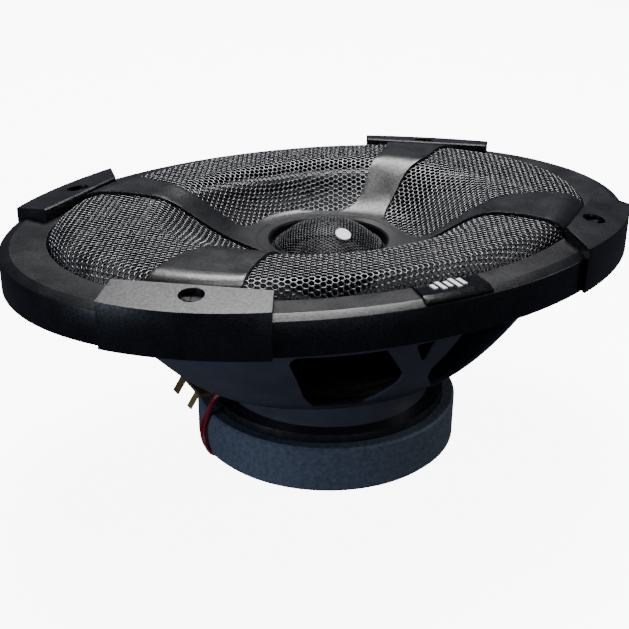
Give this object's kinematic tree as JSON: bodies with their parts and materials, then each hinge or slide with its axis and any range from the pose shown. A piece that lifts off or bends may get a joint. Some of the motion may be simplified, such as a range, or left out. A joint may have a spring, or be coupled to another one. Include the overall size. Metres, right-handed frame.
{
  "type": "coaxial car speaker",
  "caption": "Oval two-way coaxial car speaker with a dished mesh grille, a swirl frame with corner caps, a vented basket, a booted magnet and a tweeter on a centre post",
  "frame": {"origin": "middle of the mounting plane, which is the rear face of the basket flange, on the speaker's axis", "axes": "+Z points out of the front of the speaker, +X runs along the long axis of the oval away from the terminals, +Y runs across it"},
  "size_m": [0.236, 0.1704, 0.0937],
  "materials": {
    "satin_black_plastic": "satin moulded black",
    "basket_black": "semi-matt black powder coat",
    "mesh_black": "semi-gloss black paint on perforated steel",
    "plated_steel": "zinc-plated steel",
    "black_steel": "black phosphate",
    "ferrite": "ground ferrite",
    "tweeter_magnet_plating": "nickel-plated neodymium",
    "boot_rubber": "moulded rubber",
    "coil_former_film": "brown polyimide film on aluminium",
    "copper_wire": "enamelled copper",
    "spider_cloth": "resin-dipped woven cloth",
    "cone_pulp": "pressed mineral-filled cone",
    "surround_rubber": "butyl rubber",
    "gasket_foam": "die-cut gasket",
    "gloss_black": "gloss black lacquer",
    "badge_white": "white print",
    "post_aluminium": "turned aluminium",
    "silk_dome": "coated silk",
    "board_fibre": "phenolic board",
    "gold_plate": "gold-plated brass",
    "capacitor_sleeve": "shrink sleeve",
    "red_insulation": "red wire insulation",
    "tinsel_braid": "braided tinsel wire"
  },
  "bodies": {
    "root": {"grille_ring": "satin_black_plastic", "swirl_frame": "satin_black_plastic", "tweeter_bezel": "satin_black_plastic", "tweeter_cup": "satin_black_plastic", "basket": "basket_black", "grille_mesh": "mesh_black", "tweeter_grille": "mesh_black", "basket_rivets": "plated_steel", "yoke": "plated_steel", "tweeter_yoke": "plated_steel", "tweeter_pole_plate": "plated_steel", "top_plate": "black_steel", "magnet_ring": "ferrite", "tweeter_magnet": "tweeter_magnet_plating", "magnet_boot": "boot_rubber", "spider": "spider_cloth", "surround": "surround_rubber", "surround_gasket": "gasket_foam", "badge_plate": "gloss_black", "badge_emblem": "badge_white", "tweeter_emblem": "badge_white", "tweeter_post": "post_aluminium", "terminal_board": "board_fibre", "positive_terminal": "gold_plate", "negative_terminal": "gold_plate", "terminal_rivets": "gold_plate", "crossover_capacitor": "capacitor_sleeve", "tweeter_wire_positive": "red_insulation", "tweeter_wire_negative": "red_insulation", "tinsel_lead_positive": "tinsel_braid", "tinsel_lead_negative": "tinsel_braid"},
    "cone_assembly": {"cone": "cone_pulp", "coil_former": "coil_former_film", "voice_coil": "copper_wire"},
    "tweeter_diaphragm": {"tweeter_dome": "silk_dome", "tweeter_coil": "copper_wire"}
  },
  "joints": [
    {"name": "cone_travel", "type": "slide", "parent": "root", "child": "cone_assembly", "axis": [0, 0, 1], "range_m": [-0.005, 0.005], "stiffness_N_per_m": 1800, "deforming": ["surround", "spider", "tinsel_lead_positive", "tinsel_lead_negative"]},
    {"name": "tweeter_travel", "type": "slide", "parent": "root", "child": "tweeter_diaphragm", "axis": [0, 0, 1], "range_m": [-0.0003, 0.0003], "stiffness_N_per_m": 900}
  ]
}
